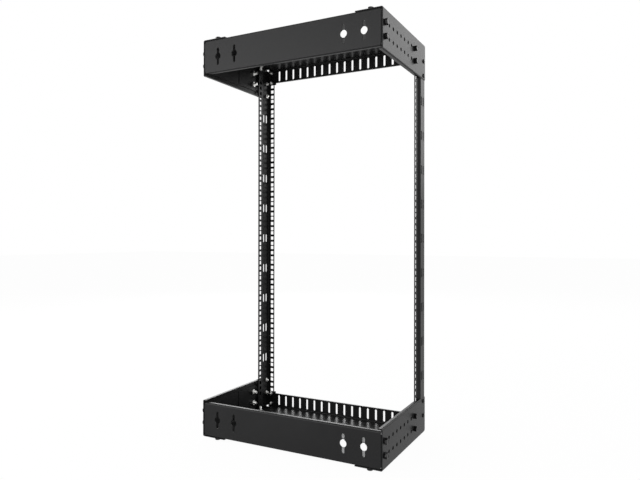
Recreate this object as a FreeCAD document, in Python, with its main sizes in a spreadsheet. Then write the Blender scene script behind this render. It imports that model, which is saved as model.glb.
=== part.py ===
import FreeCAD, Part
import math
import os
import Sketcher

# Wall mount open frame rack for 19 inch equipment, standing in the frame in which it hangs.
# X runs across the rack, Y from the equipment side (-Y) to the wall side (+Y), Z up.
# The origin is at the middle of the footprint, on the plane of the lowest bolt heads.
# Two uprights carry the equipment. At each end four folded sheet pieces join them to the
# wall: a wall bracket with keyholes, a slotted front bracket and two side plates.

V = FreeCAD.Vector
os.makedirs("parts", exist_ok=True)
doc = FreeCAD.newDocument("wall_mount_open_frame_rack")

# Driving dimensions in millimetres. Distances called depth are measured from the wall,
# heights called level are measured from the rack's mid-height.
SIZES = {
    "sheet": 2.0,                      # thickness of every folded sheet
    "bend": 2.0,                       # inner radius of the bends
    "frame_depth": 304.8,              # wall to the equipment's mounting plane
    "frame_half": 512.0,               # mid-height to the outside of the end flanges
    "end_gap": 2.5,                    # upright's end to the side plate's end flange, past its bend
    "unit_height": 44.45,              # one rack unit
    "unit_margin": 40.0,               # least distance from the end flange to the first unit
    "first_hole": 6.35,                # edge of a rack unit to its first hole
    "hole_step": 15.875,               # from a unit's first hole to its second
    "square_hole": 9.5,                # side of a square hole for a cage nut
    "column_span": 465.1,              # between the two columns of front holes
    "column_margin": 16.45,            # column of front holes to the outside of the side plate
    "flange_edge": 7.55,               # column of front holes to the flange's free edge
    "web_depth": 34.0,                 # upright's web, front to back
    "step_depth": 10.0,                # depth over which the web steps inwards
    "step_in": 6.0,                    # how far the rear lip stands in from the web
    "lip_depth": 20.0,                 # rear lip, front to back
    "web_slot_spacing": 90.0,          # between the web's slot pairs
    "web_slot_long": 24.0,
    "web_slot_wide": 7.0,
    "web_slot_inset": 13.8,            # mounting plane to the front slot of a pair
    "web_slot_gap": 14.0,              # between the two slots of a pair
    "plate_tall": 94.0,                # side plate's outer height
    "plate_inset": 4.5,                # mounting plane to the side plate's front edge
    "end_flange_wide": 68.0,           # side plate's flange over the brackets
    "inner_flange_wide": 10.0,         # side plate's flange towards the rack's middle
    "flange_setback": 6.0,             # corner of the end flange to the plate's front edge
    "notch_gap": 4.0,                  # inner flange's end to the upright's lip
    "corner_cut": 6.0,                 # bevel on the plate's free corner
    "row_step": 25.4,                  # side plate's rows of adjusting holes
    "row_depth": 13.0,                 # wall to the first hole of a row
    "row_margin": 80.0,                # least distance from the last hole to the mounting plane
    "row_drop": 32.0,                  # end flange to the outer row
    "row_spacing": 31.75,              # between the two rows
    "bolt_hole": 9.0,
    "screw_hole": 7.0,
    "upright_screw_inset": 18.0,       # mounting plane to the upright's screws
    "upright_screw_drop": 45.9,        # end flange to the outer of the upright's screws
    "upright_screw_span": 38.1,
    "bracket_clearance": 0.2,          # bracket's end to the side plate
    "panel_tall": 85.5,                # wall bracket's face
    "panel_flange": 87.0,              # wall bracket's end flange, front to back
    "panel_lip": 9.0,                  # wall bracket's lip on the face's free edge
    "arm_gap": 2.8,                    # wall bracket's arm to the front bracket's tab
    "arm_relief": 6.0,                 # end flange or lip to a wall bracket's arm
    "keyhole_inset": 29.35,            # column of front holes to the outer keyholes
    "keyhole_spacing": 50.8,           # outer keyholes to the inner ones
    "keyhole_drop": 46.5,              # end flange to the keyholes' middle
    "keyhole_round": 17.0,
    "keyhole_slot": 7.0,
    "keyhole_tall": 44.5,
    "front_tall": 41.5,                # front bracket's slotted face
    "front_ear_drop": 4.5,             # how far the ears reach past the slotted face
    "ear_overlap": 7.0,                # ear's inner edge to the upright's free edge
    "front_face_gap": 2.5,             # front bracket's ears to the uprights' webs
    "front_notch_gap": 3.0,            # front bracket's end flange to the uprights' lips
    "front_screw_drop": 12.0,          # end flange to the outer of the front bracket's screws
    "front_screw_span": 29.0,
    "front_lip": 6.0,                  # front bracket's lip on the face's free edge
    "front_flange": 162.0,             # front bracket's end flange, front to back
    "front_tab_tall": 78.0,
    "front_tab_relief": 10.0,          # end flange's edge to the tab's edge
    "front_tab_gap": 71.0,             # tab's other edge to the mounting plane
    "vent_spacing": 24.2,              # between the front bracket's slots
    "vent_margin": 9.0,                # least distance from the ear to a slot's middle
    "vent_drop": 23.5,                 # end flange to the slots' middle
    "vent_long": 29.5,
    "vent_wide": 6.0,
    "end_bolt_inset_wall": 36.0,       # side plate to the bolts through the wall bracket's flange
    "end_bolt_depth_wall": 15.0,
    "end_bolt_inset_front": 21.0,      # side plate to the bolts through the front bracket's flange
    "end_bolt_gap_front": 70.8,        # those bolts to the mounting plane
    "bolt_shank": 8.0,
    "bolt_reach": 20.0,                # under the head
    "bolt_flats": 13.0,
    "bolt_head": 7.5,
    "nut_tall": 6.5,
    "screw_shank": 6.0,
    "screw_reach": 14.0,
    "screw_head": 11.0,
    "screw_head_tall": 3.0,
    "screw_nut_flats": 10.0,
    "screw_nut_tall": 5.0,
    "thread_clearance": 0.05,          # shank to the nut's bore, each side
}

sheet = doc.addObject("Spreadsheet::Sheet", "sizes")
for row, (alias, value) in enumerate(SIZES.items(), start=1):
    sheet.set(f"A{row}", alias)
    sheet.set(f"B{row}", repr(value))
    sheet.setAlias(f"B{row}", alias)

# Sizes that follow from the driving ones
DERIVED = {
    "stand_height": "=frame_half + bolt_head",
    "mid_depth": "=(frame_depth + screw_head_tall) / 2",
    "column_side": "=column_span / 2",
    "half_width": "=column_side + column_margin",
    "web_face": "=half_width - sheet",
    "end_face": "=frame_half - sheet",
    "upright_half": "=end_face - end_gap",
    "bracket_half": "=web_face - bracket_clearance",
    "tab_face": "=bracket_half - sheet",
    "fold_start": "=tab_face - bend",
    "step_face": "=web_face - step_in",
    "web_back": "=frame_depth - web_depth",
    "step_back": "=web_back - step_depth",
    "lip_back": "=step_back - lip_depth",
    "lip_mid": "=step_back - lip_depth / 2",
    "step_shift": "=sheet * tan(atan(step_in / step_depth) / 2)",
    "flange_back": "=frame_depth - sheet",
    "opening_half": "=column_side - flange_edge",
    "unit_count": "=floor(2 * (frame_half - unit_margin) / unit_height)",
    "holes_start": "=first_hole - unit_height * unit_count / 2",
    "plate_low": "=frame_half - plate_tall",
    "web_slot_pairs": "=2 * floor((plate_low - web_slot_long / 2) / web_slot_spacing) + 1",
    "web_slots_start": "=-web_slot_spacing * (web_slot_pairs - 1) / 2",
    "web_slot_front": "=frame_depth - web_slot_inset",
    "web_slot_back": "=frame_depth - web_slot_inset - web_slot_gap",
    "upright_screw_depth": "=frame_depth - upright_screw_inset",
    "upright_screw_high": "=frame_half - upright_screw_drop",
    "upright_screw_level": "=upright_screw_high - upright_screw_span",
    "plate_front": "=frame_depth - plate_inset",
    "notch_start": "=lip_back - notch_gap",
    "upper_row": "=frame_half - row_drop",
    "lower_row": "=upper_row - row_spacing",
    "row_count": "=floor((frame_depth - row_margin - row_depth) / row_step) + 1",
    "far_depth": "=row_depth + row_step * (row_count - 1)",
    "panel_low": "=end_face - panel_tall",
    "front_low": "=end_face - front_tall",
    "front_ear_low": "=front_low - front_ear_drop",
    "front_face_back": "=flange_back - sheet",
    "front_start": "=flange_back - front_flange",
    "front_tab_start": "=front_start + front_tab_relief",
    "front_tab_end": "=frame_depth - front_tab_gap",
    "arm_depth": "=front_tab_start - arm_gap",
    "front_half": "=web_face - sheet - front_face_gap",
    "front_notch_half": "=step_face - sheet - front_notch_gap",
    "front_ear_side": "=opening_half - ear_overlap",
    "front_screw_high": "=frame_half - front_screw_drop",
    "front_screw_level": "=front_screw_high - front_screw_span",
    "keyhole_outer": "=column_side - keyhole_inset",
    "keyhole_inner": "=keyhole_outer - keyhole_spacing",
    "keyhole_level": "=frame_half - keyhole_drop",
    "vent_level": "=frame_half - vent_drop",
    "vent_count": "=floor(2 * (front_ear_side - vent_margin) / vent_spacing) + 1",
    "vent_start": "=-vent_spacing * (vent_count - 1) / 2",
    "end_bolt_side_wall": "=half_width - end_bolt_inset_wall",
    "end_bolt_side_front": "=half_width - end_bolt_inset_front",
    "end_bolt_depth_front": "=frame_depth - end_bolt_gap_front",
    "outer_bend": "=bend + sheet",
}
for row, (alias, formula) in enumerate(DERIVED.items(), start=len(SIZES) + 1):
    sheet.set(f"A{row}", alias)
    sheet.set(f"B{row}", formula)
    sheet.setAlias(f"B{row}", alias)
workings = doc.addObject("Spreadsheet::Sheet", "workings")
doc.recompute()


def size(name):
    """Value of one cell of the sheet."""
    return float(sheet.get(name))


def bind(expression):
    """The expression with each alias written as a cell of the sheet."""
    words = []
    word = ""
    for character in expression + " ":
        if character.isalnum() or character == "_":
            word += character
            continue
        is_alias = word in SIZES or word in DERIVED
        words.append(("sizes." + word if is_alias else word) + character)
        word = ""
    return "".join(words).strip()


def value_of(expression):
    """The expression worked out with the sheet's values, in one cell of a second sheet."""
    workings.set("A1", "=" + bind(expression))
    workings.recompute()
    return float(workings.get("A1"))


def new_body(label):
    body = doc.addObject("PartDesign::Body", label)
    body.Label = label
    return body


def origin_plane(body, role):
    return next(item for item in body.Origin.OriginFeatures if item.Role == role)


def new_sketch(body, role, name, offset="0"):
    """A sketch on one of the body's own planes, or at a distance from it along its normal."""
    sketch = body.newObject("Sketcher::SketchObject", name)
    sketch.AttachmentSupport = [(origin_plane(body, role), "")]
    sketch.MapMode = "FlatFace"
    sketch.setExpression("AttachmentOffset.Base.z", bind(offset))
    doc.recompute()
    return sketch


def pin_point(sketch, geometry, position, across, up):
    """Ties one point of a sketch to the origin by two sizes."""
    for kind, expression in (("DistanceX", across), ("DistanceY", up)):
        index = sketch.addConstraint(
            Sketcher.Constraint(kind, -1, 1, geometry, position, value_of(expression)))
        sketch.setExpression(f"Constraints[{index}]", bind(expression))


def draw_outline(sketch, corners):
    """A closed outline of straight lines; each corner is a pair of expressions."""
    points = [V(value_of(across), value_of(up), 0) for across, up in corners]
    lines = []
    for start, end in zip(points, points[1:] + points[:1]):
        lines.append(sketch.addGeometry(Part.LineSegment(start, end), False))
    for line, following in zip(lines, lines[1:] + lines[:1]):
        sketch.addConstraint(Sketcher.Constraint("Coincident", line, 2, following, 1))
    for line, (across, up) in zip(lines, corners):
        pin_point(sketch, line, 1, across, up)


def draw_box(sketch, low_across, high_across, low_up, high_up):
    draw_outline(sketch, [(low_across, low_up), (high_across, low_up),
                          (high_across, high_up), (low_across, high_up)])


def draw_circle(sketch, across, up, diameter):
    circle = sketch.addGeometry(
        Part.Circle(V(value_of(across), value_of(up), 0), V(0, 0, 1), value_of(diameter) / 2), False)
    pin_point(sketch, circle, 3, across, up)
    index = sketch.addConstraint(Sketcher.Constraint("Diameter", circle, value_of(diameter)))
    sketch.setExpression(f"Constraints[{index}]", bind(diameter))


def draw_slot(sketch, across, up, wide, tall):
    """An upright slot with round ends."""
    middle = V(value_of(across), value_of(up), 0)
    radius = value_of(wide) / 2
    rise = V(0, value_of(tall) / 2 - radius, 0)
    side = V(radius, 0, 0)
    top = sketch.addGeometry(
        Part.ArcOfCircle(Part.Circle(middle + rise, V(0, 0, 1), radius), 0, math.pi), False)
    left = sketch.addGeometry(Part.LineSegment(middle + rise - side, middle - rise - side), False)
    bottom = sketch.addGeometry(
        Part.ArcOfCircle(Part.Circle(middle - rise, V(0, 0, 1), radius), math.pi, 2 * math.pi), False)
    right = sketch.addGeometry(Part.LineSegment(middle - rise + side, middle + rise + side), False)
    for first, second in ((top, left), (left, bottom), (bottom, right)):
        sketch.addConstraint(Sketcher.Constraint("Tangent", first, 2, second, 1))
    sketch.addConstraint(Sketcher.Constraint("Tangent", right, 2, top, 1))
    sketch.addConstraint(Sketcher.Constraint("Equal", top, bottom))
    pin_point(sketch, top, 3, across, f"{up} + ({tall} - {wide}) / 2")
    pin_point(sketch, bottom, 3, across, f"{up} - ({tall} - {wide}) / 2")
    index = sketch.addConstraint(Sketcher.Constraint("Radius", top, radius))
    sketch.setExpression(f"Constraints[{index}]", bind(f"{wide} / 2"))


def pad(body, sketch, name, length, midplane=False, reverse=False):
    feature = body.newObject("PartDesign::Pad", name)
    feature.Profile = sketch
    feature.Midplane = midplane
    feature.Reversed = reverse
    feature.setExpression("Length", bind(length))
    doc.recompute()
    return feature


def cut_through(body, sketch, name, length, reverse=False):
    """Cuts a sketch from its plane through one wall and checks that it removed something."""
    before = body.Shape.Volume
    feature = body.newObject("PartDesign::Pocket", name)
    feature.Profile = sketch
    feature.Type = 0
    feature.Reversed = reverse
    feature.setExpression("Length", bind(length))
    doc.recompute()
    if feature.Shape.Volume > before - 1.0:
        raise RuntimeError(f"{name} cuts nothing")
    return feature


def repeat(body, feature, name, sketch, axis, pitch, count):
    """A row of copies of a cut."""
    pattern = body.newObject("PartDesign::LinearPattern", name)
    pattern.Originals = [feature]
    pattern.Direction = (sketch, [axis])
    pattern.setExpression("Length", bind(f"({pitch}) * ({count} - 1)"))
    pattern.setExpression("Occurrences", bind(count))
    body.Tip = pattern
    doc.recompute()
    return pattern


def round_bends(body, name, direction, places, radius):
    """Rounds the edges that run along direction through the given places."""
    base = body.Tip
    names = []
    for number, edge in enumerate(base.Shape.Edges, start=1):
        if edge.Length < 1.0 or len(edge.Vertexes) != 2:
            continue
        along = edge.Vertexes[1].Point - edge.Vertexes[0].Point
        if along.Length < 1.0 or abs(abs(along.normalize() * direction) - 1) > 1e-6:
            continue
        for place in places:
            offset = edge.Vertexes[0].Point - place
            if (offset - direction * (offset * direction)).Length < 0.01:
                names.append(f"Edge{number}")
    if len(names) < len(places):
        raise RuntimeError(f"{name} finds {len(names)} of {len(places)} edges")
    feature = body.newObject("PartDesign::Fillet", name)
    feature.Base = (base, names)
    feature.setExpression("Radius", bind(radius))
    body.Tip = feature
    doc.recompute()
    return feature


def place(item, across="0", along="mid_depth", up="stand_height"):
    """Moves a piece drawn from the wall plane and mid-height to its place in the rack."""
    item.setExpression("Placement.Base.x", bind(across))
    item.setExpression("Placement.Base.y", bind(along))
    item.setExpression("Placement.Base.z", bind(up))


def mirrored(source, label, normal, at_mid_height=False):
    """The opposite hand of a placed piece."""
    item = doc.addObject("Part::Mirroring", label)
    item.Label = label
    item.Source = source
    item.Normal = normal
    if at_mid_height:
        item.setExpression("Base.z", bind("stand_height"))
    return item


def build_upright(label):
    """Folded channel: front flange, web, a step inwards and a rear lip."""
    body = new_body(label)
    section = new_sketch(body, "XY_Plane", "upright_section")
    corners = [
        ("opening_half", "-frame_depth"), ("web_face", "-frame_depth"),
        ("web_face", "-web_back"), ("step_face", "-step_back"),
        ("step_face", "-lip_back"), ("step_face - sheet", "-lip_back"),
        ("step_face - sheet", "-step_back - step_shift"), ("web_face - sheet", "-web_back - step_shift"),
        ("web_face - sheet", "-flange_back"), ("opening_half", "-flange_back")]
    draw_outline(section, corners)
    body.Tip = pad(body, section, "upright_length", "2 * upright_half", midplane=True)
    points = [V(value_of(across), value_of(up), 0) for across, up in corners]
    round_bends(body, "outer_bends", V(0, 0, 1), [points[1], points[2], points[6]], "outer_bend")
    round_bends(body, "inner_bends", V(0, 0, 1), [points[3], points[7], points[8]], "bend")

    front = new_sketch(body, "XZ_Plane", "front_holes")
    lip = new_sketch(body, "YZ_Plane", "lip_holes")
    for step in range(3):
        low = f"holes_start + {step} * hole_step - square_hole / 2"
        high = f"holes_start + {step} * hole_step + square_hole / 2"
        draw_box(front, "column_side - square_hole / 2", "column_side + square_hole / 2", low, high)
        draw_box(lip, "-lip_mid - square_hole / 2", "-lip_mid + square_hole / 2", low, high)
    cut = cut_through(body, front, "front_hole_cut", "frame_depth + sheet", reverse=True)
    repeat(body, cut, "front_hole_units", front, "V_Axis", "unit_height", "unit_count")
    cut = cut_through(body, lip, "lip_hole_cut", "half_width", reverse=True)
    repeat(body, cut, "lip_hole_units", lip, "V_Axis", "unit_height", "unit_count")

    slots = new_sketch(body, "YZ_Plane", "web_slots")
    for depth in ("web_slot_front", "web_slot_back"):
        draw_slot(slots, f"-{depth}", "web_slots_start", "web_slot_wide", "web_slot_long")
    cut = cut_through(body, slots, "web_slot_cut", "half_width", reverse=True)
    repeat(body, cut, "web_slot_row", slots, "V_Axis", "web_slot_spacing", "web_slot_pairs")

    side_screws = new_sketch(body, "YZ_Plane", "side_screw_holes")
    front_screws = new_sketch(body, "XZ_Plane", "front_screw_holes")
    for sign in ("", "-"):
        for level in ("upright_screw_level", "upright_screw_high"):
            draw_circle(side_screws, "-upright_screw_depth", sign + level, "screw_hole")
        for level in ("front_screw_level", "front_screw_high"):
            draw_circle(front_screws, "column_side", sign + level, "screw_hole")
    body.Tip = cut_through(body, side_screws, "side_screw_cut", "half_width", reverse=True)
    body.Tip = cut_through(body, front_screws, "front_screw_cut", "frame_depth + sheet", reverse=True)
    place(body)
    return body


def build_side_plate(label):
    """Side plate of the top right corner, with a wide end flange and a narrow inner one."""
    body = new_body(label)
    section = new_sketch(body, "XZ_Plane", "plate_section")
    corners = [
        ("half_width - end_flange_wide", "frame_half"), ("half_width", "frame_half"),
        ("half_width", "plate_low"), ("half_width - inner_flange_wide", "plate_low"),
        ("half_width - inner_flange_wide", "plate_low + sheet"), ("web_face", "plate_low + sheet"),
        ("web_face", "end_face"), ("half_width - end_flange_wide", "end_face")]
    draw_outline(section, corners)
    body.Tip = pad(body, section, "plate_depth", "plate_front")
    points = [V(value_of(across), 0, value_of(up)) for across, up in corners]
    round_bends(body, "outer_bends", V(0, 1, 0), [points[1], points[2]], "outer_bend")
    round_bends(body, "inner_bends", V(0, 1, 0), [points[5], points[6]], "bend")

    notch = new_sketch(body, "YZ_Plane", "upright_notch")
    draw_box(notch, "-frame_depth", "-notch_start", "plate_low - sheet", "plate_low + outer_bend")
    body.Tip = cut_through(body, notch, "upright_notch_cut", "web_face", reverse=True)
    setback = new_sketch(body, "YZ_Plane", "flange_setback_box")
    draw_box(setback, "-frame_depth", "-plate_front + flange_setback",
             "frame_half - outer_bend", "frame_half + sheet")
    body.Tip = cut_through(body, setback, "flange_setback_cut", "web_face", reverse=True)
    bevel = new_sketch(body, "YZ_Plane", "corner_bevel")
    draw_outline(bevel, [
        ("-plate_front", "frame_half - corner_cut"), ("-plate_front + corner_cut", "frame_half"),
        ("-plate_front + corner_cut", "frame_half + sheet"), ("-plate_front - sheet", "frame_half + sheet"),
        ("-plate_front - sheet", "frame_half - corner_cut")])
    body.Tip = cut_through(body, bevel, "corner_bevel_cut", "half_width + sheet", reverse=True)

    rows = new_sketch(body, "YZ_Plane", "adjusting_holes")
    for level in ("upper_row", "lower_row"):
        draw_circle(rows, "-row_depth", level, "bolt_hole")
    cut = cut_through(body, rows, "adjusting_hole_cut", "half_width + sheet", reverse=True)
    pattern = repeat(body, cut, "adjusting_hole_row", rows, "H_Axis", "row_step", "row_count")
    pattern.Reversed = True
    screws = new_sketch(body, "YZ_Plane", "upright_screw_holes")
    for level in ("upright_screw_level", "upright_screw_high"):
        draw_circle(screws, "-upright_screw_depth", level, "screw_hole")
    body.Tip = cut_through(body, screws, "upright_screw_cut", "half_width + sheet", reverse=True)
    ends = new_sketch(body, "XY_Plane", "end_flange_holes")
    draw_circle(ends, "end_bolt_side_wall", "-end_bolt_depth_wall", "bolt_hole")
    draw_circle(ends, "end_bolt_side_front", "-end_bolt_depth_front", "bolt_hole")
    body.Tip = cut_through(body, ends, "end_flange_hole_cut", "frame_half + sheet", reverse=True)
    place(body)
    return body


def build_wall_bracket(label):
    """Top wall bracket: a face against the wall with keyholes, an end flange, a lip and side arms."""
    body = new_body(label)
    section = new_sketch(body, "YZ_Plane", "bracket_section")
    corners = [
        ("0", "panel_low"), ("0", "end_face"), ("-panel_flange", "end_face"),
        ("-panel_flange", "end_face - sheet"), ("-sheet", "end_face - sheet"),
        ("-sheet", "panel_low + sheet"), ("-panel_lip", "panel_low + sheet"), ("-panel_lip", "panel_low")]
    draw_outline(section, corners)
    body.Tip = pad(body, section, "bracket_width", "2 * fold_start", midplane=True)
    points = [V(0, value_of(across), value_of(up)) for across, up in corners]
    round_bends(body, "outer_bends", V(1, 0, 0), [points[0], points[1]], "outer_bend")
    round_bends(body, "inner_bends", V(1, 0, 0), [points[4], points[5]], "bend")

    tabs = new_sketch(body, "XY_Plane", "side_arms", "panel_low + arm_relief")
    outlines = []
    for sign in ("", "-"):
        outline = [
            (f"{sign}fold_start", "0"), (f"{sign}bracket_half", "0"), (f"{sign}bracket_half", "-arm_depth"),
            (f"{sign}tab_face", "-arm_depth"), (f"{sign}tab_face", "-sheet"), (f"{sign}fold_start", "-sheet")]
        draw_outline(tabs, outline)
        outlines.append([V(value_of(across), value_of(up), 0) for across, up in outline])
    body.Tip = pad(body, tabs, "side_arm_height", "panel_tall - 2 * arm_relief")
    round_bends(body, "arm_outer_bends", V(0, 0, 1), [points[1] for points in outlines], "outer_bend")
    round_bends(body, "arm_inner_bends", V(0, 0, 1), [points[4] for points in outlines], "bend")

    rounds = new_sketch(body, "XZ_Plane", "keyhole_rounds")
    slots = new_sketch(body, "XZ_Plane", "keyhole_slots")
    for side in ("-keyhole_outer", "-keyhole_inner", "keyhole_inner", "keyhole_outer"):
        draw_circle(rounds, side, "keyhole_level", "keyhole_round")
        draw_slot(slots, side, "keyhole_level", "keyhole_slot", "keyhole_tall")
    body.Tip = cut_through(body, rounds, "keyhole_round_cut", "2 * sheet", reverse=True)
    body.Tip = cut_through(body, slots, "keyhole_slot_cut", "2 * sheet", reverse=True)
    cut_bolt_holes(body, "row_depth", "end_bolt_side_wall", "end_bolt_depth_wall")
    place(body)
    return body


def cut_bolt_holes(body, tab_depth, end_side, end_depth):
    """Holes of a bracket for the side bolts in its arms or tabs and for its end bolts."""
    ends = new_sketch(body, "XY_Plane", "end_bolt_holes")
    for sign in ("", "-"):
        draw_circle(ends, sign + end_side, f"-{end_depth}", "bolt_hole")
    body.Tip = cut_through(body, ends, "end_bolt_cut", "frame_half", reverse=True)
    for name, reverse in (("right_tab_holes", True), ("left_tab_holes", False)):
        holes = new_sketch(body, "YZ_Plane", name)
        for level in ("upper_row", "lower_row"):
            draw_circle(holes, f"-{tab_depth}", level, "bolt_hole")
        body.Tip = cut_through(body, holes, name + "_cut", "half_width", reverse=reverse)


def build_front_bracket(label):
    """Top front bracket: a slotted face with a lip and ears, an end flange and side tabs."""
    body = new_body(label)
    section = new_sketch(body, "YZ_Plane", "bracket_section")
    corners = [
        ("-flange_back", "front_ear_low"), ("-flange_back", "end_face"), ("-front_start", "end_face"),
        ("-front_start", "end_face - sheet"), ("-front_face_back", "end_face - sheet"),
        ("-front_face_back", "front_ear_low")]
    draw_outline(section, corners)
    body.Tip = pad(body, section, "bracket_width", "2 * front_half", midplane=True)
    points = [V(0, value_of(across), value_of(up)) for across, up in corners]
    round_bends(body, "outer_bend_edge", V(1, 0, 0), [points[1]], "outer_bend")
    round_bends(body, "inner_bend_edge", V(1, 0, 0), [points[4]], "bend")

    lowered = new_sketch(body, "XZ_Plane", "face_between_ears")
    draw_box(lowered, "-front_ear_side", "front_ear_side", "front_ear_low - sheet", "front_low")
    body.Tip = cut_through(body, lowered, "face_between_ears_cut", "frame_depth", reverse=True)
    lip = new_sketch(body, "YZ_Plane", "face_lip")
    draw_box(lip, "-flange_back", "-flange_back + front_lip", "front_low", "front_low + sheet")
    body.Tip = pad(body, lip, "face_lip_width", "2 * front_ear_side", midplane=True)
    edge = V(0, -value_of("flange_back"), value_of("front_low"))
    round_bends(body, "lip_bend", V(1, 0, 0), [edge], "sheet")

    tabs = new_sketch(body, "XZ_Plane", "side_tabs", "front_tab_start")
    outline = [
        ("-bracket_half", "end_face - front_tab_tall"), ("-bracket_half", "end_face"),
        ("bracket_half", "end_face"), ("bracket_half", "end_face - front_tab_tall"),
        ("tab_face", "end_face - front_tab_tall"), ("tab_face", "end_face - sheet"),
        ("-tab_face", "end_face - sheet"), ("-tab_face", "end_face - front_tab_tall")]
    draw_outline(tabs, outline)
    body.Tip = pad(body, tabs, "side_tab_depth", "front_tab_end - front_tab_start")
    points = [V(value_of(across), 0, value_of(up)) for across, up in outline]
    round_bends(body, "tab_outer_bends", V(0, 1, 0), [points[1], points[2]], "outer_bend")
    round_bends(body, "tab_inner_bends", V(0, 1, 0), [points[5], points[6]], "bend")
    notches = new_sketch(body, "XY_Plane", "upright_notches")
    for sign in ("", "-"):
        draw_box(notches, f"{sign}front_notch_half", f"{sign}half_width",
                 "-front_face_back + bend", "-front_tab_end")
    body.Tip = cut_through(body, notches, "upright_notch_cut", "frame_half", reverse=True)

    vents = new_sketch(body, "XZ_Plane", "face_slots")
    draw_slot(vents, "vent_start", "vent_level", "vent_wide", "vent_long")
    cut = cut_through(body, vents, "face_slot_cut", "frame_depth", reverse=True)
    repeat(body, cut, "face_slot_row", vents, "H_Axis", "vent_spacing", "vent_count")
    screws = new_sketch(body, "XZ_Plane", "front_screw_holes")
    for sign in ("", "-"):
        for level in ("front_screw_level", "front_screw_high"):
            draw_circle(screws, sign + "column_side", level, "screw_hole")
    body.Tip = cut_through(body, screws, "front_screw_cut", "frame_depth", reverse=True)
    cut_bolt_holes(body, "far_depth", "end_bolt_side_front", "end_bolt_depth_front")
    place(body)
    return body


def primitive(kind, name, up="0", **sizes):
    item = doc.addObject(kind, name)
    item.setExpression("Placement.Base.z", bind(up))
    for size_name, expression in sizes.items():
        item.setExpression(size_name, bind(expression))
    return item


def joined(name, pieces):
    item = doc.addObject("Part::MultiFuse", name)
    item.Shapes = pieces
    item.Refine = True
    return item


def hexagon(name, flats, height, up="0"):
    item = primitive("Part::Prism", name, up, Circumradius=f"{flats} / sqrt(3)", Height=height)
    item.Polygon = 6
    return item


def drilled(name, piece, diameter, height):
    """A nut: its bore clears the shank all round."""
    bore = primitive("Part::Cylinder", name + "_bore", "-1", Height=f"{height} + 2",
                     Radius=f"{diameter} / 2 + thread_clearance")
    item = doc.addObject("Part::Cut", name)
    item.Base = piece
    item.Tool = bore
    return item


def build_fasteners():
    """One of each fastener on the Z axis, its bearing face at 0 and its head or body above."""
    bolt = joined("hexagon_bolt", [
        hexagon("bolt_hexagon", "bolt_flats", "bolt_head"),
        primitive("Part::Cylinder", "bolt_shank_rod", "-bolt_reach", Radius="bolt_shank / 2",
                  Height="bolt_reach + bolt_head / 2")])
    nut = drilled("bolt_nut", hexagon("bolt_nut_hexagon", "bolt_flats", "nut_tall"),
                  "bolt_shank", "nut_tall")
    screw = joined("pan_head_screw", [
        primitive("Part::Cylinder", "screw_head_disc", Radius="screw_head / 2", Height="screw_head_tall"),
        primitive("Part::Cylinder", "screw_shank_rod", "-screw_reach", Radius="screw_shank / 2",
                  Height="screw_reach + screw_head_tall / 2")])
    screw_nut = drilled("screw_nut", hexagon("screw_nut_hexagon", "screw_nut_flats", "screw_nut_tall"),
                        "screw_shank", "screw_nut_tall")
    doc.recompute()
    return {"bolt": bolt.Shape, "nut": nut.Shape, "screw": screw.Shape, "screw_nut": screw_nut.Shape}


def turned(shape, direction, seat):
    """A copy of a fastener whose axis is turned from +Z to direction, seated at a point."""
    copy = shape.copy()
    copy.Placement = FreeCAD.Placement(seat, FreeCAD.Rotation(V(0, 0, 1), direction))
    return copy


def fastener_node(label, shape, direction, seats):
    """One node for like fasteners: separate solids, each seated at its own place."""
    item = doc.addObject("Part::Feature", label)
    item.Label = label
    item.Shape = Part.makeCompound([turned(shape, direction, seat) for seat in seats])
    return item


def seat_at(side, end, across, depth, level):
    """A point of the top right corner, carried to the corner that the signs name."""
    return V(side * across, size("mid_depth") - depth, size("stand_height") + end * level)


def fasten_corner(prefix, side, end, shapes):
    """The fasteners of one corner: side is +1 at the right, end is +1 at the top."""
    outwards = V(side, 0, 0)
    endwards = V(0, 0, end)
    forwards = V(0, -1, 0)
    rows = (size("upper_row"), size("lower_row"))
    nodes = []
    for name, depth in (("wall_side", size("row_depth")), ("front_side", size("far_depth"))):
        heads = [seat_at(side, end, size("half_width"), depth, level) for level in rows]
        nuts = [seat_at(side, end, size("tab_face"), depth, level) for level in rows]
        nodes.append(fastener_node(f"{prefix}_{name}_bolts", shapes["bolt"], outwards, heads))
        nodes.append(fastener_node(f"{prefix}_{name}_nuts", shapes["nut"], -outwards, nuts))
    for name in ("wall", "front"):
        across = size(f"end_bolt_side_{name}")
        depth = size(f"end_bolt_depth_{name}")
        head = seat_at(side, end, across, depth, size("frame_half"))
        nut = seat_at(side, end, across, depth, size("end_face") - size("sheet"))
        nodes.append(fastener_node(f"{prefix}_{name}_end_bolt", shapes["bolt"], endwards, [head]))
        nodes.append(fastener_node(f"{prefix}_{name}_end_nut", shapes["nut"], -endwards, [nut]))
    levels = (size("upright_screw_level"), size("upright_screw_high"))
    depth = size("upright_screw_depth")
    heads = [seat_at(side, end, size("half_width"), depth, level) for level in levels]
    nuts = [seat_at(side, end, size("web_face") - size("sheet"), depth, level) for level in levels]
    nodes.append(fastener_node(f"{prefix}_upright_screws", shapes["screw"], outwards, heads))
    nodes.append(fastener_node(f"{prefix}_upright_nuts", shapes["screw_nut"], -outwards, nuts))
    levels = (size("front_screw_level"), size("front_screw_high"))
    across = size("column_side")
    heads = [seat_at(side, end, across, size("frame_depth"), level) for level in levels]
    nuts = [seat_at(side, end, across, size("front_face_back"), level) for level in levels]
    nodes.append(fastener_node(f"{prefix}_front_screws", shapes["screw"], forwards, heads))
    nodes.append(fastener_node(f"{prefix}_front_nuts", shapes["screw_nut"], -forwards, nuts))
    return nodes


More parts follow.
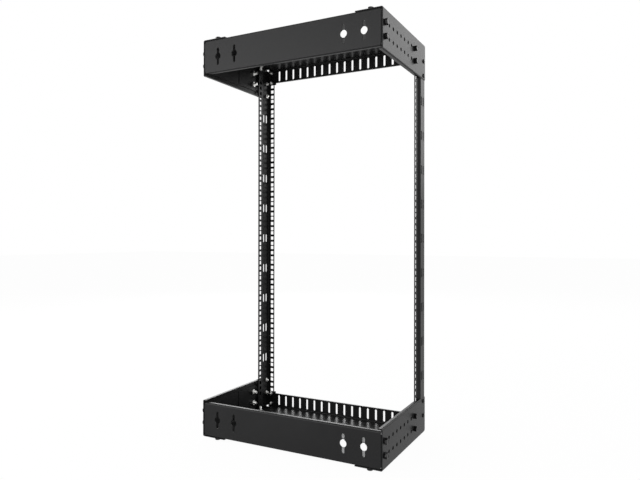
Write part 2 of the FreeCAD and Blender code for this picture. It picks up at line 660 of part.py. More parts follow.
right_upright = build_upright("right_upright")
top_right_plate = build_side_plate("top_right_side_plate")
top_wall = build_wall_bracket("top_wall_bracket")
top_front = build_front_bracket("top_front_bracket")
ACROSS = V(1, 0, 0)
UPWARDS = V(0, 0, 1)
bottom_right_plate = mirrored(top_right_plate, "bottom_right_side_plate", UPWARDS, at_mid_height=True)
nodes = [
    right_upright, top_right_plate, top_wall, top_front, bottom_right_plate,
    mirrored(right_upright, "left_upright", ACROSS),
    mirrored(top_right_plate, "top_left_side_plate", ACROSS),
    mirrored(bottom_right_plate, "bottom_left_side_plate", ACROSS),
    mirrored(top_wall, "bottom_wall_bracket", UPWARDS, at_mid_height=True),
    mirrored(top_front, "bottom_front_bracket", UPWARDS, at_mid_height=True),
]
fasteners = build_fasteners()
for end_name, end in (("top", 1), ("bottom", -1)):
    for side_name, side in (("right", 1), ("left", -1)):
        nodes += fasten_corner(f"{end_name}_{side_name}", side, end, fasteners)
doc.removeObject("workings")
doc.recompute()

for item in doc.Objects:
    if "Invalid" in item.State or "Error" in item.State:
        raise RuntimeError(f"{item.Label} failed: {item.State}")
for node in nodes:
    if node.Shape.isNull() or not node.Shape.isValid():
        raise RuntimeError(f"{node.Label} has no valid shape")
for node in nodes:
    node.Shape.exportStep(f"parts/{node.Label}.step")
box = Part.makeCompound([node.Shape for node in nodes]).BoundBox
print(f"{len(nodes)} nodes, {box.XLength:.1f} x {box.YLength:.1f} x {box.ZLength:.1f} mm")
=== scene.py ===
"""Finishes, fasteners, stage and camera for a wall mount open frame rack."""

import math
import random

import bmesh
import bpy
from mathutils import Matrix, Vector


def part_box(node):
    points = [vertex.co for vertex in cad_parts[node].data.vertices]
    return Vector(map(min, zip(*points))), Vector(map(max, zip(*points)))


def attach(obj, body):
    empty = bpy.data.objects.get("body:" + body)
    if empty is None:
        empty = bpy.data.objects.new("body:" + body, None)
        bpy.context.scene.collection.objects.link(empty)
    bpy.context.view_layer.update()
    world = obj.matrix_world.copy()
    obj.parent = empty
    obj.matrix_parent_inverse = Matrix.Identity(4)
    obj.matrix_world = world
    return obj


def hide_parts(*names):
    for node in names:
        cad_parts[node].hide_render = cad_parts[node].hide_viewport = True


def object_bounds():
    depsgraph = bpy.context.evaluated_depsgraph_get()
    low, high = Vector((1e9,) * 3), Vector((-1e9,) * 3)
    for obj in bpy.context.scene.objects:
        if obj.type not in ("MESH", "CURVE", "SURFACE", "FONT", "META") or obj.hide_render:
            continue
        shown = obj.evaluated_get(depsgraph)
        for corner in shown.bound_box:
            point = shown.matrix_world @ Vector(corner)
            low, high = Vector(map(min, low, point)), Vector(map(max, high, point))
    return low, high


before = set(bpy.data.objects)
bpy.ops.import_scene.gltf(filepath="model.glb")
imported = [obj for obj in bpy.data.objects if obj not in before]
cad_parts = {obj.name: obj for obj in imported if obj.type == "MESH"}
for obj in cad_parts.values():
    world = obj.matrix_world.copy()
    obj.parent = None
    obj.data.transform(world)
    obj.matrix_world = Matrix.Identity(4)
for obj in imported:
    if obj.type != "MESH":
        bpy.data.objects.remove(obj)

bl_info = {
    "name": "Wall Mount Open Frame Rack",
    "version": (1, 0, 0),
    "blender": (4, 5, 0),
    "location": "View3D > Sidebar > Rack",
    "description": "Dresses the folded sheets, fasteners and stage of an open frame rack",
    "category": "Object",
}

CAD_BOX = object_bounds()
MM = 0.001
CORNERS = [f"{end}_{side}" for end in ("top", "bottom") for side in ("left", "right")]
SHEETS = ["left_upright", "right_upright", "top_wall_bracket", "bottom_wall_bracket",
          "top_front_bracket", "bottom_front_bracket"]
SHEETS += [f"{corner}_side_plate" for corner in CORNERS]

# Sizes of the fasteners as the frame holds them
PLATE_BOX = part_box("top_right_side_plate")
BOLT_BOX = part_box("top_right_wall_end_bolt")
NUT_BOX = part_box("top_right_wall_end_nut")
SCREW_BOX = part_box("top_right_front_screws")
SCREW_NUT_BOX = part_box("top_right_front_nuts")
FLANGE_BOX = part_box("right_upright")
BOLT_FLATS = BOLT_BOX[1].y - BOLT_BOX[0].y
BOLT_HEAD = BOLT_BOX[1].z - PLATE_BOX[1].z
BOLT_REACH = PLATE_BOX[1].z - BOLT_BOX[0].z
NUT_TALL = NUT_BOX[1].z - NUT_BOX[0].z
SCREW_WIDE = SCREW_BOX[1].x - SCREW_BOX[0].x
SCREW_HEAD = FLANGE_BOX[0].y - SCREW_BOX[0].y
SCREW_REACH = SCREW_BOX[1].y - FLANGE_BOX[0].y
SCREW_NUT_TALL = SCREW_NUT_BOX[1].y - SCREW_NUT_BOX[0].y
SCREW_NUT_CORNERS = SCREW_NUT_BOX[1].x - SCREW_NUT_BOX[0].x

# Dressing of the sheets: reach of the weld, turn at which faces count as one flat, bevel and shading
WELD_REACH = 0.001 * MM
FLAT_TURN = math.radians(0.2)
EDGE_SEGMENTS = 2
SHADING_WEIGHT = 100

# Fineness of the fasteners: columns of vertices, rows in a turn of thread, turn that stays a sharp edge
BOLT_COLUMNS = 36
SCREW_COLUMNS = 24
THREAD_ROWS = 4
SHARP_TURN = math.radians(28)

# Hexagons: end face of a chamfered one as a share of its flats, slope of the chamfer
END_FACE = 0.475
CHAMFER_SLOPE = math.tan(math.radians(30))

# Threads: depth as a share of the pitch
THREAD_DEPTH = 0.55

# Bolt heads: washer face and sunk middle, with radii as shares of the flats
WASHER_TALL = 0.4 * MM
WASHER_RADIUS = 0.46
DISH_RADIUS = 0.34
DISH_DEEP = 0.5 * MM

# Nuts: countersink of the bore
NUT_SINK = 0.6 * MM

# Pan heads, as shares of the head's radius and height: foot, start and top of the crown, recess
FOOT_RADIUS = 0.97
FOOT_TALL = 0.10
CROWN_START = 0.42
CROWN_TOP = 0.66
CROWN_STEPS = 6
RECESS_DEEP = 0.62
RECESS_REACH = 0.52
RECESS_WIDE = 0.2

# The recess's bottom, as shares of its mouth
BOTTOM_REACH = 0.55
BOTTOM_WIDE = 0.7

# Seeds for how far the fasteners are turned
BOLT_SEED = 11
NUT_SEED = 23
SCREW_SEED = 37

# Sockets of a Mix node for colours
MIX_FIRST = 6
MIX_SECOND = 7
MIX_RESULT = 2

WHITE = (1.0, 1.0, 1.0, 1.0)

# Width of the camera's sensor, in millimetres
SENSOR_WIDE = 36.0


def length(name, description, default):
    return bpy.props.FloatProperty(
        name=name, description=description, default=default, min=0.0, subtype="DISTANCE", unit="LENGTH")


def share(name, description, default):
    return bpy.props.FloatProperty(
        name=name, description=description, default=default, min=0.0, max=1.0, subtype="FACTOR")


def colour(name, description, default):
    return bpy.props.FloatVectorProperty(
        name=name, description=description, default=default, min=0.0, max=1.0, size=3, subtype="COLOR")


class RackFinishSettings(bpy.types.PropertyGroup):
    """Colours and grain of the paint and the plating."""

    coat_colour: colour("Coat", "Black powder coat on the folded sheets", (0.012, 0.012, 0.0123))
    coat_roughness: share("Coat roughness", "Roughness of the powder coat", 0.36)
    coat_shine: share("Coat shine", "Specular level of the powder coat", 0.11)
    coat_grain: length("Coat grain", "Width of the coat's fine grain", 0.9 * MM)
    coat_peel: length("Coat flow", "Width of the soft waves in the coat", 5.0 * MM)
    head_colour: colour("Heads", "Black bolt and screw heads", (0.004, 0.004, 0.0042))
    head_roughness: share("Head roughness", "Roughness of the black heads", 0.30)
    head_shine: share("Head shine", "Specular level of the black heads", 0.2)
    zinc_colour: colour("Zinc", "Bright zinc on nuts and threads", (0.80, 0.80, 0.78))
    zinc_roughness: share("Zinc roughness", "Roughness of the zinc", 0.30)
    edge_radius: length("Sheet edge", "Softness of cut sheet edges under the coat", 0.35 * MM)
    sharp_turn: bpy.props.FloatProperty(
        name="Sharp edge", description="Edges that turn by more than this are softened",
        default=math.radians(50), subtype="ANGLE", unit="ROTATION")


class RackFastenerSettings(bpy.types.PropertyGroup):
    """Sizes of the bolts, nuts and screws."""

    bolt_flats: length("Bolt flats", "Bolt head and nut across flats", BOLT_FLATS)
    bolt_head: length("Bolt head", "Height of a bolt head", BOLT_HEAD)
    bolt_reach: length("Bolt reach", "Length under a bolt head", BOLT_REACH)
    bolt_shank: length("Bolt shank", "Diameter of a bolt's thread", 8.0 * MM)
    bolt_pitch: length("Bolt pitch", "Rise of a bolt's thread in one turn", 1.25 * MM)
    nut_tall: length("Nut height", "Height of a bolt's nut", NUT_TALL)
    screw_head: length("Screw head", "Height of a screw head", SCREW_HEAD)
    screw_wide: length("Screw head width", "Diameter of a screw head", SCREW_WIDE)
    screw_reach: length("Screw reach", "Length under a screw head", SCREW_REACH)
    screw_shank: length("Screw shank", "Diameter of a screw's thread", 6.0 * MM)
    screw_pitch: length("Screw pitch", "Rise of a screw's thread in one turn", 1.0 * MM)
    screw_nut_flats: length("Screw nut flats", "Screw nut across flats",
                            SCREW_NUT_CORNERS * math.cos(math.pi / 6))
    screw_nut_tall: length("Screw nut height", "Height of a screw's nut", SCREW_NUT_TALL)
    clearance: length("Thread clearance", "A nut's bore to its thread, each side", 0.05 * MM)


class RackStageSettings(bpy.types.PropertyGroup):
    """Camera, lamps and floor."""

    camera_place: bpy.props.FloatVectorProperty(
        name="Camera", description="Place of the camera", size=3, subtype="TRANSLATION", unit="LENGTH",
        default=(-0.7222, 1.3429, 0.5217))
    camera_turn: bpy.props.FloatVectorProperty(
        name="Camera turn", description="Rotation of the camera", size=3, subtype="EULER", unit="ROTATION",
        default=(math.radians(90.10), math.radians(-0.067), math.radians(207.50)))
    camera_lens: bpy.props.FloatProperty(
        name="Lens", description="Focal length on a sensor 36 mm wide", default=32.63, unit="CAMERA")
    camera_shift: bpy.props.FloatVectorProperty(
        name="Shift", description="Shift of the picture, as a share of its width", size=2,
        default=(-0.0062, -0.0056))
    floor_wide: length("Floor", "Side of the square floor", 30.0)
    floor_colour: colour("Floor colour", "Pale floor under the rack", (0.9, 0.9, 0.9))
    floor_glow: share("Floor white", "Share of plain white in what the camera sees of the floor", 0.97)
    world_light: bpy.props.FloatProperty(
        name="Surround", description="Strength of the white surround on matt surfaces", default=0.5, min=0.0)


class RackSettings(bpy.types.PropertyGroup):
    """All settings of the rack."""

    finish: bpy.props.PointerProperty(type=RackFinishSettings)
    fasteners: bpy.props.PointerProperty(type=RackFastenerSettings)
    stage: bpy.props.PointerProperty(type=RackStageSettings)


class Wire:
    """One output socket, on which sums and products are written as plain Python."""

    def __init__(self, shader, socket):
        self.shader = shader
        self.socket = socket

    def maths(self, operation, other):
        return self.shader.node("ShaderNodeMath", {"operation": operation}, {0: self, 1: other})

    def __add__(self, other):
        return self.maths("ADD", other)

    __radd__ = __add__

    def __mul__(self, other):
        return self.maths("MULTIPLY", other)

    __rmul__ = __mul__

    def larger(self, other):
        return self.maths("MAXIMUM", other)


class Shader:
    """A node tree that is filled by calls."""

    def __init__(self, tree):
        self.tree = tree
        tree.nodes.clear()

    def node(self, kind, settings=None, sockets=None, output=0):
        """A node with its settings and sockets filled; the answer is one of its outputs."""
        node = self.tree.nodes.new(kind)
        for name, value in (settings or {}).items():
            setattr(node, name, value)
        for name, value in (sockets or {}).items():
            if isinstance(value, Wire):
                self.tree.links.new(value.socket, node.inputs[name])
            else:
                node.inputs[name].default_value = value
        return Wire(self, node.outputs[output]) if node.outputs else None

    def noise(self, width, detail=2.0):
        """Soft noise whose lumps are about the given width, from 0 to 1."""
        place = self.node("ShaderNodeTexCoord", output="Object")
        return self.node("ShaderNodeTexNoise", sockets={
            "Vector": place, "Scale": 1 / width, "Detail": detail})

    def mix_colour(self, amount, first, second):
        """The first colour where the amount is 0, the second where it is 1."""
        colours = {MIX_FIRST: (*first, 1.0), MIX_SECOND: (*second, 1.0)}
        return self.node("ShaderNodeMix", {"data_type": "RGBA"}, {"Factor": amount, **colours}, MIX_RESULT)

    def bump(self, height, distance, strength, normal=None):
        """A normal that follows the height, on top of another normal if there is one."""
        sockets = {"Height": height, "Distance": distance, "Strength": strength}
        if normal is not None:
            sockets["Normal"] = normal
        return self.node("ShaderNodeBump", sockets=sockets)


def new_material(name):
    material = bpy.data.materials.new(name)
    material.use_nodes = True
    return material, Shader(material.node_tree)


def toned(shade, amount):
    """The colour made darker by an amount under 1, or paler by one over 1."""
    return tuple(channel * amount for channel in shade)


def powder_coat(finish):
    """Black semi-gloss powder coat: a fine grain on soft waves."""
    cloud_wide = 90.0 * MM
    fine_detail = 3.0
    shade_swing = 0.2
    roughness_swing = 0.04
    relief = 0.02 * MM
    wave_strength = 0.5
    grain_strength = 0.35
    material, shader = new_material("black_powder_coat")
    cloud = shader.noise(cloud_wide, fine_detail)
    grain = shader.noise(finish.coat_grain, fine_detail)
    waves = shader.noise(finish.coat_peel)
    shade = shader.mix_colour(cloud, toned(finish.coat_colour, 1 - shade_swing),
                              toned(finish.coat_colour, 1 + shade_swing))
    roughness = finish.coat_roughness - roughness_swing + roughness_swing * cloud + roughness_swing * grain
    normal = shader.bump(waves, relief, wave_strength)
    normal = shader.bump(grain, relief, grain_strength, normal)
    surface = shader.node("ShaderNodeBsdfPrincipled", sockets={
        "Base Color": shade, "Roughness": roughness, "Specular IOR Level": finish.coat_shine,
        "Normal": normal})
    shader.node("ShaderNodeOutputMaterial", sockets={"Surface": surface})
    return material


def black_head(finish):
    """Black finish of the bolt and screw heads, a little smoother than the coat."""
    cloud_wide = 4.0 * MM
    cloud_detail = 3.0
    grain_wide = 0.5 * MM
    shade_swing = 0.3
    roughness_swing = 0.05
    relief = 0.015 * MM
    grain_strength = 0.4
    material, shader = new_material("black_fastener")
    cloud = shader.noise(cloud_wide, cloud_detail)
    grain = shader.noise(grain_wide)
    shade = shader.mix_colour(cloud, toned(finish.head_colour, 1 - shade_swing),
                              toned(finish.head_colour, 1 + shade_swing))
    roughness = finish.head_roughness - roughness_swing + 2 * roughness_swing * cloud
    surface = shader.node("ShaderNodeBsdfPrincipled", sockets={
        "Base Color": shade, "Roughness": roughness, "Specular IOR Level": finish.head_shine,
        "Normal": shader.bump(grain, relief, grain_strength)})
    shader.node("ShaderNodeOutputMaterial", sockets={"Surface": surface})
    return material


def zinc_plate(finish):
    """Bright zinc plate with a cloudy sheen."""
    cloud_wide = 3.0 * MM
    cloud_detail = 4.0
    grain_wide = 0.35 * MM
    shade_drop = 0.2
    roughness_swing = 0.08
    relief = 0.01 * MM
    grain_strength = 0.4
    material, shader = new_material("zinc_plate")
    cloud = shader.noise(cloud_wide, cloud_detail)
    grain = shader.noise(grain_wide)
    shade = shader.mix_colour(cloud, toned(finish.zinc_colour, 1 - shade_drop), finish.zinc_colour)
    roughness = finish.zinc_roughness - roughness_swing + 2 * roughness_swing * cloud
    surface = shader.node("ShaderNodeBsdfPrincipled", sockets={
        "Base Color": shade, "Metallic": 1.0, "Roughness": roughness,
        "Normal": shader.bump(grain, relief, grain_strength)})
    shader.node("ShaderNodeOutputMaterial", sockets={"Surface": surface})
    return material


MAKERS = {"black_powder_coat": powder_coat, "black_fastener": black_head, "zinc_plate": zinc_plate}


def finish_named(context, name):
    """The material of that name, made once."""
    made = bpy.data.materials.get("dressed_" + name)
    if made is None:
        made = MAKERS[name](context.scene.rack.finish)
        made.name = "dressed_" + name
    return made


def ring_of(bm, columns, point):
    """One ring of vertices; point gives the radius and height at an angle."""
    ring = []
    for column in range(columns):
        angle = math.tau * column / columns
        radius, height = point(angle)
        ring.append(bm.verts.new((radius * math.cos(angle), radius * math.sin(angle), height)))
    return ring


def join_rings(bm, first, second):
    """A band of faces between two rings of as many vertices."""
    for index, vertex in enumerate(first):
        following = (index + 1) % len(first)
        bm.faces.new((vertex, first[following], second[following], second[index]))


def hexagon_radius(angle, flats):
    """Distance from the axis to the side of a hexagon that has a corner at angle 0."""
    return flats / 2 / math.cos(angle % (math.pi / 3) - math.pi / 6)


def hexagon_body(flats, low, high, round_low, round_high):
    """Rings of a hexagon whose corners are turned off at one end or both."""
    turned = END_FACE * flats

    def drop(angle):
        return (hexagon_radius(angle, flats) - turned) * CHAMFER_SLOPE

    rings = []
    if round_low:
        rings.append(lambda angle: (turned, low))
    rings.append(lambda angle: (hexagon_radius(angle, flats), low + (drop(angle) if round_low else 0.0)))
    rings.append(lambda angle: (hexagon_radius(angle, flats), high - (drop(angle) if round_high else 0.0)))
    if round_high:
        rings.append(lambda angle: (turned, high))
    return rings


def thread_rings(radius, pitch, tip, top):
    """Rings of a screw thread from its chamfered tip up to the head's bearing face."""
    depth = THREAD_DEPTH * pitch
    rows = math.ceil((top - tip) / pitch * THREAD_ROWS)

    def thread_point(height):
        def point(angle):
            groove = depth * abs(2 * ((height / pitch - angle / math.tau) % 1.0) - 1)
            return min(radius - groove, radius - depth + height - tip), height
        return point

    return [thread_point(tip + (top - tip) * row / rows) for row in range(rows + 1)]


def smooth(mesh):
    """Rounds the shading of a mesh but keeps its sharp edges."""
    mesh.shade_smooth()
    mesh.set_sharp_from_angle(angle=SHARP_TURN)


def turned_piece(bm, columns, rings, closed):
    """Bands of faces through all rings; a closed piece has a bore, from its last ring to its first."""
    made = [ring_of(bm, columns, ring) for ring in rings]
    for first, second in zip(made, made[1:]):
        join_rings(bm, first, second)
    if closed:
        join_rings(bm, made[-1], made[0])
    return made


def bolt_mesh(sizes):
    """A hexagon bolt, its bearing face at 0 and its head above: thread, washer face and chamfered head."""
    bm = bmesh.new()
    face = WASHER_RADIUS * sizes.bolt_flats
    dish = DISH_RADIUS * sizes.bolt_flats
    rings = thread_rings(sizes.bolt_shank / 2, sizes.bolt_pitch, -sizes.bolt_reach, 0.0)
    head_start = len(rings)
    rings += [lambda angle: (face, 0.0), lambda angle: (face, WASHER_TALL)]
    rings += hexagon_body(sizes.bolt_flats, WASHER_TALL, sizes.bolt_head, False, True)
    rings += [lambda angle: (dish + DISH_DEEP, sizes.bolt_head),
              lambda angle: (dish, sizes.bolt_head - DISH_DEEP)]
    made = turned_piece(bm, BOLT_COLUMNS, rings, False)
    bm.faces.new(made[0])
    bm.faces.new(made[-1])
    bmesh.ops.recalc_face_normals(bm, faces=bm.faces)
    head = {vertex for ring in made[head_start:] for vertex in ring}
    for shown in bm.faces:
        shown.material_index = 0 if any(vertex in head for vertex in shown.verts) else 1
    return bm


def nut_mesh(flats, tall, bore):
    """A hexagon nut on its bearing face, chamfered at both ends, with a countersunk bore."""
    bm = bmesh.new()
    rings = hexagon_body(flats, 0.0, tall, True, True)
    rings += [lambda angle: (bore + NUT_SINK, tall), lambda angle: (bore, tall - NUT_SINK),
              lambda angle: (bore, NUT_SINK), lambda angle: (bore + NUT_SINK, 0.0)]
    turned_piece(bm, BOLT_COLUMNS, rings, True)
    bmesh.ops.recalc_face_normals(bm, faces=bm.faces)
    return bm


def cross_outline(reach, width):
    """Corners of a cross: arms that reach out from the axis."""
    half = width / 2
    quarter = [(reach, -half), (reach, half), (half, half)]
    points = []
    for turn in range(4):
        spin = Matrix.Rotation(turn * math.pi / 2, 2)
        points += [spin @ Vector(point) for point in quarter]
    return points


def cut_cross(bm, rim, level, depth, reach, width):
    """Closes a flat rim with a face that has a cross-shaped recess."""
    top = [bm.verts.new((*point, level)) for point in cross_outline(reach, width)]
    sunk = cross_outline(reach * BOTTOM_REACH, width * BOTTOM_WIDE)
    bottom = [bm.verts.new((*point, level - depth)) for point in sunk]
    join_rings(bm, top, bottom)
    bm.faces.new(bottom)
    edges = [bm.edges.get((vertex, rim[index - 1])) for index, vertex in enumerate(rim)]
    edges += [bm.edges.get((vertex, top[index - 1])) for index, vertex in enumerate(top)]
    bmesh.ops.triangle_fill(bm, use_beauty=True, edges=edges)


def screw_mesh(sizes):
    """A pan head screw with a cross recess, its bearing face at 0 and its head above."""
    bm = bmesh.new()
    wide = sizes.screw_wide / 2
    tall = sizes.screw_head
    rings = thread_rings(sizes.screw_shank / 2, sizes.screw_pitch, -sizes.screw_reach, 0.0)
    head_start = len(rings)
    rings += [lambda angle: (wide * FOOT_RADIUS, 0.0), lambda angle: (wide, tall * FOOT_TALL)]
    for step in range(CROWN_STEPS + 1):
        slant = math.pi / 2 * step / CROWN_STEPS
        across = wide * (CROWN_TOP + (1 - CROWN_TOP) * math.cos(slant))
        up = tall * (CROWN_START + (1 - CROWN_START) * math.sin(slant))
        rings.append(lambda angle, across=across, up=up: (across, up))
    made = turned_piece(bm, SCREW_COLUMNS, rings, False)
    bm.faces.new(made[0])
    cut_cross(bm, made[-1], tall, tall * RECESS_DEEP, wide * RECESS_REACH, wide * RECESS_WIDE)
    bmesh.ops.recalc_face_normals(bm, faces=bm.faces)
    head = {vertex for ring in made[head_start:] for vertex in ring}
    for shown in bm.faces:
        on_thread = all(vertex not in head for vertex in shown.verts) and shown.calc_center_median().z < 0
        shown.material_index = 1 if on_thread else 0
    return bm


def axis_of(direction):
    """0, 1 or 2 for a direction along x, y or z."""
    return max(range(3), key=lambda index: abs(direction[index]))


def seats_of(node, direction, lift, spread):
    """Where a node's fasteners bear: lift is how far their outer ends stand past the bearing face.

    An end bolt or its nut is alone. Others are a pair, one above the other, and spread is how far
    each reaches above and below its axis.
    """
    low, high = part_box(node)
    middle = (low + high) / 2
    axis = axis_of(direction)
    end = high[axis] if direction[axis] > 0 else low[axis]
    middle[axis] = end - direction[axis] * lift
    if axis == 2:
        return [middle]
    first = middle.copy()
    second = middle.copy()
    first.z = low.z + spread
    second.z = high.z - spread
    return [first, second]


def fastener_piece(context, name, node, bm, seats, direction, finishes, spins):
    """One piece for a node's fasteners: a copy of the mesh at each seat, each turned at random."""
    whole = bmesh.new()
    for seat in seats:
        turn = Vector((0, 0, 1)).rotation_difference(Vector(direction)).to_matrix().to_4x4()
        spin = Matrix.Rotation(spins.uniform(0, math.tau), 4, "Z")
        part = bm.copy()
        bmesh.ops.transform(part, matrix=Matrix.Translation(seat) @ turn @ spin, verts=part.verts)
        loose = bpy.data.meshes.new("part")
        part.to_mesh(loose)
        whole.from_mesh(loose)
        bpy.data.meshes.remove(loose)
        part.free()
    mesh = bpy.data.meshes.new(name)
    whole.to_mesh(mesh)
    whole.free()
    for finish in finishes:
        mesh.materials.append(finish_named(context, finish))
    smooth(mesh)
    piece = bpy.data.objects.new(name, mesh)
    context.scene.collection.objects.link(piece)
    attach(piece, "root")
    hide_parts(node)


def outwards(corner):
    """From the rack's middle towards the side plate of a corner."""
    return Vector((-1 if "left" in corner else 1, 0, 0))


def endwards(corner):
    """From the rack's middle towards its upper or lower end."""
    return Vector((0, 0, 1 if "top" in corner else -1))


def corner_radius(flats):
    """Axis to a corner of a hexagon."""
    return flats / 2 / math.cos(math.pi / 6)


class RACK_OT_sheets(bpy.types.Operator):
    """Coat the uprights, brackets and side plates and soften their cut edges"""

    bl_idname = "rack.sheets"
    bl_label = "Coat Sheets"

    def execute(self, context):
        finish = context.scene.rack.finish
        coat = finish_named(context, "black_powder_coat")
        for name in SHEETS:
            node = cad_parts[name]
            node.data.materials.clear()
            node.data.materials.append(coat)
            weld = node.modifiers.new("joined_faces", "WELD")
            weld.merge_threshold = WELD_REACH
            flats = node.modifiers.new("whole_flats", "DECIMATE")
            flats.decimate_type = "DISSOLVE"
            flats.angle_limit = FLAT_TURN
            bevel = node.modifiers.new("soft_edges", "BEVEL")
            bevel.width = finish.edge_radius
            bevel.segments = EDGE_SEGMENTS
            bevel.limit_method = "ANGLE"
            bevel.angle_limit = finish.sharp_turn
            bevel.use_clamp_overlap = True
            bevel.face_strength_mode = "FSTR_ALL"
            shading = node.modifiers.new("even_shading", "WEIGHTED_NORMAL")
            shading.weight = SHADING_WEIGHT
            shading.use_face_influence = True
        return {"FINISHED"}


class RACK_OT_bolts(bpy.types.Operator):
    """Make the hexagon bolts of the side plates and end flanges"""

    bl_idname = "rack.bolts"
    bl_label = "Make Bolts"

    def execute(self, context):
        sizes = context.scene.rack.fasteners
        spins = random.Random(BOLT_SEED)
        bm = bolt_mesh(sizes)
        for corner in CORNERS:
            places = [(f"{corner}_{row}_side_bolts", outwards(corner)) for row in ("wall", "front")]
            places += [(f"{corner}_{row}_end_bolt", endwards(corner)) for row in ("wall", "front")]
            for node, direction in places:
                seats = seats_of(node, direction, sizes.bolt_head, corner_radius(sizes.bolt_flats))
                fastener_piece(context, node.replace("bolt", "hexagon_bolt"), node, bm, seats, direction,
                               ["black_fastener", "zinc_plate"], spins)
        bm.free()
        return {"FINISHED"}


class RACK_OT_nuts(bpy.types.Operator):
    """Make the hexagon nuts of the bolts and screws"""

    bl_idname = "rack.nuts"
    bl_label = "Make Nuts"

    def execute(self, context):
        sizes = context.scene.rack.fasteners
        spins = random.Random(NUT_SEED)
        big = nut_mesh(sizes.bolt_flats, sizes.nut_tall, sizes.bolt_shank / 2 + sizes.clearance)
        small = nut_mesh(sizes.screw_nut_flats, sizes.screw_nut_tall, sizes.screw_shank / 2 + sizes.clearance)
        for corner in CORNERS:
            inwards = -outwards(corner)
            places = [(f"{corner}_{row}_side_nuts", inwards, big) for row in ("wall", "front")]
            places += [(f"{corner}_{row}_end_nut", -endwards(corner), big) for row in ("wall", "front")]
            places += [(f"{corner}_upright_nuts", inwards, small),
                       (f"{corner}_front_nuts", Vector((0, 1, 0)), small)]
            for node, direction, bm in places:
                tall = sizes.nut_tall if bm is big else sizes.screw_nut_tall
                flats = sizes.bolt_flats if bm is big else sizes.screw_nut_flats
                across = flats / 2 if axis_of(direction) == 1 else corner_radius(flats)
                seats = seats_of(node, direction, tall, across)
                fastener_piece(context, node.replace("nut", "hexagon_nut"), node, bm, seats, direction,
                               ["zinc_plate"], spins)
        big.free()
        small.free()
        return {"FINISHED"}


class RACK_OT_screws(bpy.types.Operator):
    """Make the pan head screws of the uprights"""

    bl_idname = "rack.screws"
    bl_label = "Make Screws"

    def execute(self, context):
        sizes = context.scene.rack.fasteners
        spins = random.Random(SCREW_SEED)
        bm = screw_mesh(sizes)
        for corner in CORNERS:
            places = [(f"{corner}_upright_screws", outwards(corner)),
                      (f"{corner}_front_screws", Vector((0, -1, 0)))]
            for node, direction in places:
                seats = seats_of(node, direction, sizes.screw_head, sizes.screw_wide / 2)
                fastener_piece(context, node.replace("screws", "pan_head_screws"), node, bm, seats,
                               direction, ["black_fastener", "zinc_plate"], spins)
        bm.free()
        return {"FINISHED"}


# Lamps: name, place, width and height in metres, power in watts
LAMPS = (
    ("key_lamp", (1.4, 2.8, 0.9), (2.4, 2.4), 92.0),
    ("side_lamp", (-1.9, -3.0, 2.0), (2.0, 2.0), 32.0),
    ("fill_lamp", (-2.2, 2.4, 1.6), (2.0, 2.0), 5.0),
    ("front_lamp", (2.0, -3.0, 1.8), (2.0, 2.0), 60.0),
    ("right_lamp", (3.4, 0.6, 1.2), (2.0, 2.0), 50.0),
)


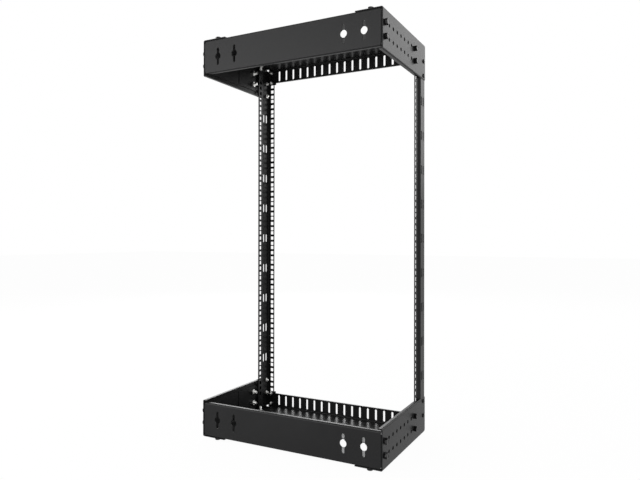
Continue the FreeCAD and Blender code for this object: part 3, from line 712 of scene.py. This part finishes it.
class RACK_OT_stage(bpy.types.Operator):
    """Set up the floor, the white surround, the lamps and the camera"""

    bl_idname = "rack.stage"
    bl_label = "Set Stage"

    def execute(self, context):
        stage = context.scene.rack.stage
        self.lay_floor(context, stage)
        self.light(context, stage)
        self.place_camera(context, stage)
        context.scene.view_settings.view_transform = "Standard"
        return {"FINISHED"}

    def lay_floor(self, context, stage):
        """A pale floor that the camera sees as near white, with the rack's shadow on it."""
        half = stage.floor_wide / 2
        mesh = bpy.data.meshes.new("floor")
        corners = [(-half, -half, 0), (half, -half, 0), (half, half, 0), (-half, half, 0)]
        mesh.from_pydata(corners, [], [(0, 1, 2, 3)])
        floor = bpy.data.objects.new("floor", mesh)
        floor.location.z = CAD_BOX[0].z
        context.scene.collection.objects.link(floor)
        material, shader = new_material("floor")
        mesh.materials.append(material)
        matt = shader.node("ShaderNodeBsdfDiffuse", sockets={"Color": (*stage.floor_colour, 1.0)})
        white = shader.node("ShaderNodeEmission", sockets={"Color": WHITE, "Strength": 1.0})
        shown = self.seen_directly(shader) * stage.floor_glow
        surface = shader.node("ShaderNodeMixShader", sockets={0: shown, 1: matt, 2: white})
        shader.node("ShaderNodeOutputMaterial", sockets={"Surface": surface})

    def seen_directly(self, shader):
        """1 for what the camera sees, also in gloss or through glass."""
        camera = shader.node("ShaderNodeLightPath", output="Is Camera Ray")
        gloss = shader.node("ShaderNodeLightPath", output="Is Glossy Ray")
        through = shader.node("ShaderNodeLightPath", output="Is Transmission Ray")
        return camera.larger(gloss).larger(through)

    def light(self, context, stage):
        """A white surround, dimmer on matt surfaces, and soft lamps that face the rack's middle."""
        world = bpy.data.worlds.new("white_surround")
        world.use_nodes = True
        context.scene.world = world
        shader = Shader(world.node_tree)
        strength = stage.world_light + self.seen_directly(shader) * (1.0 - stage.world_light)
        surround = shader.node("ShaderNodeBackground", sockets={"Color": WHITE, "Strength": strength})
        shader.node("ShaderNodeOutputWorld", sockets={"Surface": surround})
        middle = (CAD_BOX[0] + CAD_BOX[1]) / 2
        for name, place, (width, height), power in LAMPS:
            lamp = bpy.data.lights.new(name, "AREA")
            lamp.shape = "RECTANGLE"
            lamp.size = width
            lamp.size_y = height
            lamp.energy = power
            item = bpy.data.objects.new(name, lamp)
            item.location = place
            item.rotation_euler = (middle - Vector(place)).to_track_quat("-Z", "Y").to_euler()
            item.visible_camera = False
            context.scene.collection.objects.link(item)

    def place_camera(self, context, stage):
        """The camera, where the photograph was taken from."""
        data = bpy.data.cameras.new("camera")
        data.sensor_width = SENSOR_WIDE
        data.lens = stage.camera_lens
        data.shift_x, data.shift_y = stage.camera_shift
        camera = bpy.data.objects.new("camera", data)
        camera.location = stage.camera_place
        camera.rotation_euler = stage.camera_turn
        context.scene.collection.objects.link(camera)
        context.scene.camera = camera


class RACK_PT_panel(bpy.types.Panel):
    """Buttons and settings of the rack"""

    bl_idname = "RACK_PT_panel"
    bl_label = "Open Frame Rack"
    bl_space_type = "VIEW_3D"
    bl_region_type = "UI"
    bl_category = "Rack"

    def draw(self, context):
        layout = self.layout
        for step in STEPS:
            layout.operator(step.bl_idname)
        rack = context.scene.rack
        for settings in (rack.finish, rack.fasteners, rack.stage):
            box = layout.box()
            for name in settings.__annotations__:
                box.prop(settings, name)


STEPS = (RACK_OT_sheets, RACK_OT_bolts, RACK_OT_nuts, RACK_OT_screws, RACK_OT_stage)
CLASSES = (RackFinishSettings, RackFastenerSettings, RackStageSettings, RackSettings, *STEPS, RACK_PT_panel)


def register():
    for item in CLASSES:
        bpy.utils.register_class(item)
    bpy.types.Scene.rack = bpy.props.PointerProperty(type=RackSettings)


def unregister():
    del bpy.types.Scene.rack
    for item in reversed(CLASSES):
        bpy.utils.unregister_class(item)


def main():
    register()
    bpy.ops.rack.sheets()
    bpy.ops.rack.bolts()
    bpy.ops.rack.nuts()
    bpy.ops.rack.screws()
    bpy.ops.rack.stage()


if __name__ == "__main__":
    main()
